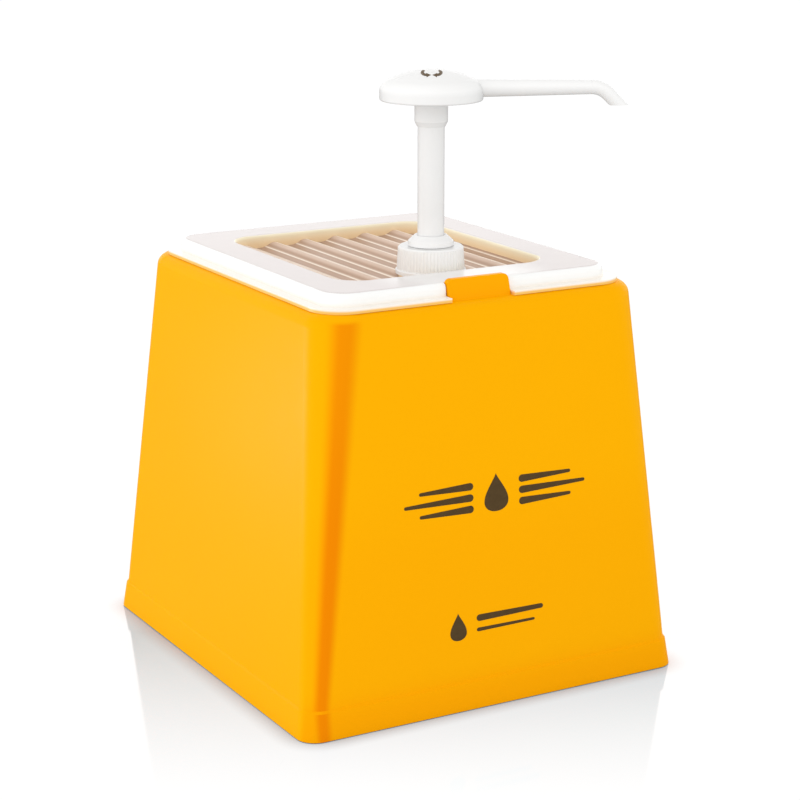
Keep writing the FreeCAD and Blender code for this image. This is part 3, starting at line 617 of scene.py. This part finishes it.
def spring_coil(steel):
    """Round-wire spring with closed end coils."""
    low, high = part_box("return_spring")
    axis = Vector(((low.x + high.x) / 2, (low.y + high.y) / 2, 0.0))
    foot = low.z + WIRE_R
    travel = high.z - low.z - 2 * WIRE_R

    def climb(turns):
        """Height after a number of coils: close at both ends, open between."""
        closed = 2 * WIRE_R * CLOSED_PITCH
        open_pitch = (travel - 2 * CLOSED_COILS * closed) / (COILS - 2 * CLOSED_COILS)
        if turns < CLOSED_COILS:
            return closed * turns
        if turns > COILS - CLOSED_COILS:
            return travel - closed * (COILS - turns)
        return closed * CLOSED_COILS + open_pitch * (turns - CLOSED_COILS)

    def build(bm):
        rings = []
        count = int(COILS * STEPS_PER_COIL)
        for k in range(count + 1):
            turns = k / STEPS_PER_COIL
            angle = 2 * math.pi * turns
            rings.append([])
            for j in range(STEPS_ROUND_WIRE):
                b = 2 * math.pi * j / STEPS_ROUND_WIRE
                reach = SPRING_R + WIRE_R * math.cos(b)
                point = axis + Vector((
                    reach * math.cos(angle),
                    reach * math.sin(angle),
                    foot + climb(turns) + WIRE_R * math.sin(b),
                ))
                rings[-1].append(bm.verts.new(point))
        for a, b in zip(rings, rings[1:]):
            for j in range(STEPS_ROUND_WIRE):
                after = (j + 1) % STEPS_ROUND_WIRE
                bm.faces.new((a[j], a[after], b[after], b[j]))
        bm.faces.new(rings[0])
        bm.faces.new(list(reversed(rings[-1])))
    piece = mesh_object("spring_coil", build, steel)
    for polygon in piece.data.polygons:
        polygon.use_smooth = len(polygon.vertices) == 4
    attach(piece, "pump")
    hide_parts("return_spring")
    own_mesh(piece)


# ---------------------------------------------------------------- studio

def floor():
    """Plain white floor with a faint mirror that fades to the front and the back."""
    def build(bm):
        signs = ((-1, -1), (1, -1), (1, 1), (-1, 1))
        bm.faces.new([bm.verts.new((FLOOR_HALF * x, FLOOR_HALF * y, 0)) for x, y in signs])
    material = bpy.data.materials.new("studio_floor")
    material.use_nodes = True
    material.cycles.emission_sampling = "NONE"
    tree = material.node_tree
    tree.nodes.remove(tree.nodes["Principled BSDF"])
    place = add(tree, "ShaderNodeNewGeometry").outputs["Position"]
    glossy = add(tree, "ShaderNodeLightPath").outputs["Is Glossy Ray"]

    def vector(operation, inputs, output="Vector"):
        return add(tree, "ShaderNodeVectorMath", inputs, operation=operation).outputs[output]

    ahead = vector("DOT_PRODUCT", {0: place, 1: FADE_AXIS}, "Value")
    near = spread(
        tree, maths(tree, "ABSOLUTE", ahead), 0.0, FADE_REACH, 1.0, 0.0, smooth=False,
    )
    depth = product(tree, maths(tree, "POWER", near, FADE_POWER), MIRROR)
    tint = vector("SCALE", {0: MIRROR_TINT, "Scale": depth})
    loss = vector("SCALE", {0: tint, "Scale": BACKDROP})
    glow = vector("SUBTRACT", {0: FLOOR_GLOW, 1: loss})
    contact = add(tree, "ShaderNodeAmbientOcclusion", {"Distance": CONTACT_REACH}, samples=6)
    strength = product(
        tree,
        spread(tree, glossy, 0.0, 1.0, 1.0, GLOW_REFLECTED, smooth=False),
        contact.outputs["AO"],
    )
    light = add(tree, "ShaderNodeEmission", {"Color": glow, "Strength": strength})
    matt = add(tree, "ShaderNodeBsdfDiffuse", {"Color": FLOOR_MATT})
    mirror = add(tree, "ShaderNodeBsdfGlossy", {"Color": tint, "Roughness": MIRROR_ROUGH})
    plain = add(tree, "ShaderNodeAddShader", {0: light.outputs[0], 1: matt.outputs[0]})
    total = add(tree, "ShaderNodeAddShader", {0: plain.outputs[0], 1: mirror.outputs[0]})
    tree.links.new(total.outputs[0], tree.nodes["Material Output"].inputs["Surface"])
    mesh_object("studio_floor", build, material)


def world():
    """Even white room, brighter low down; reflections see it brighter still."""
    scene = bpy.context.scene
    scene.world = bpy.data.worlds.new("studio")
    scene.world.use_nodes = True
    scene.world.cycles.sampling_method = "NONE"
    tree = scene.world.node_tree
    ray = add(tree, "ShaderNodeLightPath").outputs
    glossy = ray["Is Glossy Ray"]
    height = axes(tree, add(tree, "ShaderNodeTexCoord").outputs["Generated"])["Z"]
    direct = maths(tree, "SUBTRACT", 1.0, glossy)
    lit = product(tree, direct, spread(tree, height, 0.0, 0.9, *ROOM_LIGHT))
    strength = maths(tree, "ADD", product(tree, glossy, BACKDROP), lit)
    seen = product(tree, ray["Is Camera Ray"], ROOM_SEEN)
    background = tree.nodes["Background"]
    tree.links.new(maths(tree, "MAXIMUM", strength, seen), background.inputs["Strength"])
    background.inputs["Color"].default_value = (1.0, 1.0, 1.0, 1.0)


def softbox(name, place, size, power, diffuse=True, glossy=True):
    """Soft rectangular light aimed at the middle of the object."""
    light = bpy.data.lights.new(name, "AREA")
    light.shape = "RECTANGLE"
    light.size, light.size_y = size
    light.energy = power
    lamp = bpy.data.objects.new(name, light)
    lamp.location = place
    aim = Vector(AIM) - lamp.location
    lamp.rotation_euler = aim.to_track_quat("-Z", "Y").to_euler()
    lamp.visible_camera = False
    lamp.visible_diffuse = diffuse
    lamp.visible_glossy = glossy
    bpy.context.scene.collection.objects.link(lamp)


def studio():
    """Camera, white room, floor and softboxes."""
    scene = bpy.context.scene
    scene.view_settings.view_transform = "Standard"
    camera = bpy.data.objects.new("camera", bpy.data.cameras.new("camera"))
    camera.location = CAMERA_PLACE
    camera.rotation_euler = CAMERA_TURN
    camera.data.lens = CAMERA_LENS
    camera.data.sensor_width = CAMERA_SENSOR
    scene.collection.objects.link(camera)
    scene.camera = camera
    world()
    floor()
    softbox("left_box", (-1.3, 0.10, 0.45), (1.0, 1.0), 2.3, glossy=False)
    softbox("top_box", (0.0, 0.15, 1.4), (1.6, 1.6), 1.5, glossy=False)
    softbox("left_glow", (-0.58, 0.44, 0.04), (0.30, 0.22), 3.2, diffuse=False)


materials = make_materials()
dress(materials)
front_print(materials["print_ink"])
small_print(materials["print_ink"])
head_arrows(materials["print_ink"])
spring_coil(materials["stainless"])
studio()
